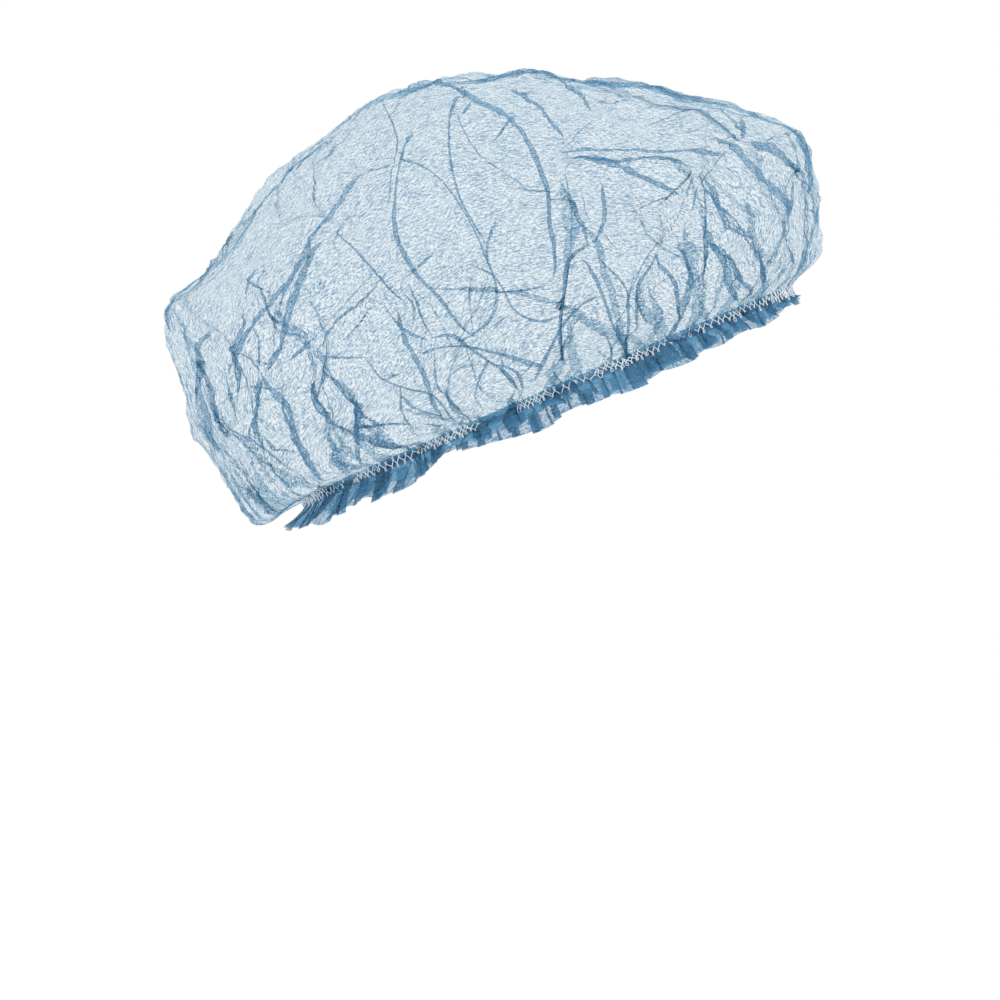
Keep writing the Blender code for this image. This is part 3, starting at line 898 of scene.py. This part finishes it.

# %% [markdown]
# ## The elastic and its stitching
# The flat elastic is inside the gathers and shows only through them. Its CAD solid is right as it is.
# It is knitted in fine ribs, and the thread round it is twisted. One finish serves for both, because
# ribs that run a little unevenly are what both have: a wave texture gives them bumps, and painted
# shade that darkens their grooves.

# %% The elastic's finish
KNIT_RIB = 0.0009
KNIT_DEPTH = 0.0002
KNIT_ROUGHNESS = 0.7
THREAD_TWIST = 0.0005
TWIST_DEPTH = 0.00005
TWIST_ROUGHNESS = 0.6
RIB_WANDER = 1.5
RIB_DETAIL = 2.0
RIB_STRENGTH = 0.5
# At scale 1 a wave texture turns through 17 to 20 radians in a metre, by its direction.
WAVE_TURNS = 20


def ribbed(name, rib, shaded_groove, crest, roughness, height):
    """A matte finish with fine uneven ribs and painted shade that makes the grooves darker than the crests.
    """
    material, nodes, links = new_material(name)
    shader = nodes["Principled BSDF"]
    shader.inputs["Roughness"].default_value = roughness
    place = nodes.new("ShaderNodeTexCoord")
    ribs = nodes.new("ShaderNodeTexWave")
    ribs.bands_direction = "DIAGONAL"
    ribs.inputs["Scale"].default_value = math.tau / WAVE_TURNS / rib
    ribs.inputs["Distortion"].default_value = RIB_WANDER
    ribs.inputs["Detail"].default_value = RIB_DETAIL
    links.new(place.outputs["Object"], ribs.inputs["Vector"])
    # The ramp paints shade into the grooves: its dark end is painted shade, and its light end is the cord's
    # own colour.
    colour = nodes.new("ShaderNodeValToRGB")
    colour.color_ramp.elements[0].color = shaded_groove
    colour.color_ramp.elements[1].color = crest
    links.new(ribs.outputs["Fac"], colour.inputs["Fac"])
    links.new(colour.outputs["Color"], shader.inputs["Base Color"])
    bump = nodes.new("ShaderNodeBump")
    bump.inputs["Strength"].default_value = RIB_STRENGTH
    bump.inputs["Distance"].default_value = height
    links.new(ribs.outputs["Fac"], bump.inputs["Height"])
    links.new(bump.outputs["Normal"], shader.inputs["Normal"])
    return material


# The groove colours are painted shade, darker than each cord's own colour on the crests.
BLUE_GROOVE_SHADE, BLUE_CREST = (0.10, 0.26, 0.40, 1), (0.18, 0.38, 0.54, 1)
WHITE_GROOVE_SHADE, WHITE_CREST = (0.72, 0.78, 0.82, 1), (0.88, 0.91, 0.93, 1)
blue_ribs = (KNIT_RIB, BLUE_GROOVE_SHADE, BLUE_CREST, KNIT_ROUGHNESS, KNIT_DEPTH)
white_ribs = (THREAD_TWIST, WHITE_GROOVE_SHADE, WHITE_CREST, TWIST_ROUGHNESS, TWIST_DEPTH)
elastic_cloth = ribbed("pale_elastic", *blue_ribs)
white_thread = ribbed("white_thread", *white_ribs)
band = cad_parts["elastic_band"]
band.data.materials.clear()
band.data.materials.append(elastic_cloth)
print("finishes", elastic_cloth.name, white_thread.name)

# %% [markdown]
# ## The overlock threads
# Two white threads of an overlock stitch run round the elastic on the outside. A picture of stitches
# would look flat, and hundreds of single stitches would never join. So each thread is one long curve
# with a thin bevel, whose loops go over and back. It dips under the gathers in places, so that the
# stitching fades there, as in the photograph.

# %% The overlock threads
LOOPS_ROUND = 200
STEPS_A_LOOP = 10
LOOP_HALF = 0.0019
LOOP_SWAY = 0.0007
THREAD_RADIUS = 0.00017
THREAD_OUT = 0.0011
THREAD_DIP = 0.0015
THREAD_WANDER = 0.00035
THREAD_UP = 0.0002
UNEVEN_LOOPS = 0.22
DEEPEST_DIP = -1.3
LEAST_DIP = 0.6
WANDER_TIMES = 160
UNEVEN_TIMES = 120
DRIFT_TIMES = 60
DIP_TIMES = 22
CHANCE_WAVES = 24


def chance_round(most_times, steps, seed):
    """Soft chance values round the loop, closed on themselves, with up to so many waves in a round."""
    chance = np.random.default_rng(seed)
    turn = np.arange(steps) / steps
    total = np.zeros(steps)
    for number in range(CHANCE_WAVES):
        times = chance.integers(1, most_times)
        total += np.cos(math.tau * (times * turn + chance.uniform()))
    return total / math.sqrt(CHANCE_WAVES / 2)


def overlock_thread(name, start, seed):
    """A cord whose loops go over and back as it runs round the elastic."""
    steps = LOOPS_ROUND * STEPS_A_LOOP
    phase = math.tau * (np.arange(steps) / STEPS_A_LOOP + start)
    round_metres = math.pi * (LOOP_LENGTH + LOOP_WIDTH) / 2
    sway = LOOP_SWAY * np.sin(2 * phase) + THREAD_WANDER * chance_round(WANDER_TIMES, steps, seed)
    turn = np.arange(steps) / steps + sway / round_metres
    loop_up = LOOP_HALF * (1 + UNEVEN_LOOPS * chance_round(UNEVEN_TIMES, steps, seed + 1))
    drift = THREAD_WANDER * chance_round(DRIFT_TIMES, steps, seed + 2)
    up = loop_up * np.sin(phase) + drift + THREAD_UP
    dip = np.clip(chance_round(DIP_TIMES, steps, seed + 3), DEEPEST_DIP, LEAST_DIP)
    grow = THREAD_OUT + THREAD_DIP * dip
    places = loop_points(turn, grow)
    places[:, 2] = up
    places = places @ WORN.T
    curve = bpy.data.curves.new(name, "CURVE")
    curve.dimensions = "3D"
    curve.bevel_depth = THREAD_RADIUS
    curve.bevel_resolution = 0
    spline = curve.splines.new("POLY")
    spline.points.add(steps - 1)
    spline.points.foreach_set("co", np.c_[places, np.ones(steps)].ravel())
    spline.use_cyclic_u = True
    cord = bpy.data.objects.new(name, curve)
    bpy.context.scene.collection.objects.link(cord)
    bpy.ops.object.select_all(action="DESELECT")
    cord.select_set(True)
    bpy.context.view_layer.objects.active = cord
    bpy.ops.object.convert(target="MESH")
    cord.data.shade_smooth()
    cord.data.materials.clear()
    cord.data.materials.append(white_thread)
    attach(cord, "root")
    print(name, len(cord.data.polygons), "faces")


overlock_thread("overlock_over", 0.0, 41)
overlock_thread("overlock_under", 0.5, 52)

# %% [markdown]
# ## Stage, light and camera
# The floor is wide and white, and the light is soft and comes from all sides. The floor glows a little,
# just enough to be as bright as the world behind it, because its far edge would otherwise show as a
# line through the cloth. The camera is level with the cap, on its right, far away and with a long
# lens, so that lines stay nearly parallel as in the photograph.

# %% Stage
FLOOR_Z = -0.42
FLOOR_SIZE = 16
FLOOR_GLOW = 0.1

bpy.ops.mesh.primitive_plane_add(size=FLOOR_SIZE, location=(0, 0, FLOOR_Z))
floor = bpy.context.object
floor.name = "floor"
floor_paint, nodes, links = new_material("white_floor")
nodes["Principled BSDF"].inputs["Base Color"].default_value = (0.9, 0.9, 0.9, 1)
nodes["Principled BSDF"].inputs["Roughness"].default_value = 0.9
nodes["Principled BSDF"].inputs["Emission Color"].default_value = (1, 1, 1, 1)
nodes["Principled BSDF"].inputs["Emission Strength"].default_value = FLOOR_GLOW
floor.data.materials.append(floor_paint)
print("floor at", FLOOR_Z, "m")

# %% [markdown]
# A white world gives most of the light. Two large soft lamps add a little shape from the camera's side.

# %% Light
LIT_PLACE = Vector((0, 0, 0.03))
SOFT_LIGHTS = [
    ("key", (-1.4, -0.6, 1.6), 1.2, 16),
    ("fill", (-1.2, 1.2, 0.6), 1.2, 4),
]

world = bpy.data.worlds.new("studio")
bpy.context.scene.world = world
world.use_nodes = True
world.node_tree.nodes["Background"].inputs["Color"].default_value = (1, 1, 1, 1)
world.node_tree.nodes["Background"].inputs["Strength"].default_value = 1.0


def soft_light(name, place, size, power):
    """A square lamp of this size in metres and power in watts, turned to the cap."""
    light = bpy.data.lights.new(name, "AREA")
    light.shape = "SQUARE"
    light.size = size
    light.energy = power
    lamp = bpy.data.objects.new(name, light)
    bpy.context.scene.collection.objects.link(lamp)
    lamp.location = place
    lamp.rotation_euler = (LIT_PLACE - Vector(place)).to_track_quat("-Z", "Y").to_euler()


for lamp_values in SOFT_LIGHTS:
    soft_light(*lamp_values)
print(len(SOFT_LIGHTS), "soft lights")

# %% [markdown]
# The camera's lens follows from its distance and from how wide a piece of the world the photograph
# takes in at the cap. Thin cloth lies in many layers, so light has to be let through many of them.

# %% Camera
PICTURE_WIDTH = 0.380
VIEW_MIDDLE = Vector((0.0, 0.0182, -0.0391))
CAMERA_DISTANCE = 2.5
SENSOR = 36.0
MOST_LAYERS = 64

camera_data = bpy.data.cameras.new("camera")
camera_data.sensor_width = SENSOR
camera_data.lens = SENSOR * CAMERA_DISTANCE / PICTURE_WIDTH
camera = bpy.data.objects.new("camera", camera_data)
bpy.context.scene.collection.objects.link(camera)
camera.location = VIEW_MIDDLE + Vector((-CAMERA_DISTANCE, 0, 0))
camera.rotation_euler = (VIEW_MIDDLE - camera.location).to_track_quat("-Z", "Y").to_euler()
bpy.context.scene.camera = camera
bpy.context.scene.view_settings.view_transform = "Standard"
bpy.context.scene.cycles.transparent_max_bounces = MOST_LAYERS
print("lens", round(camera_data.lens), "mm")
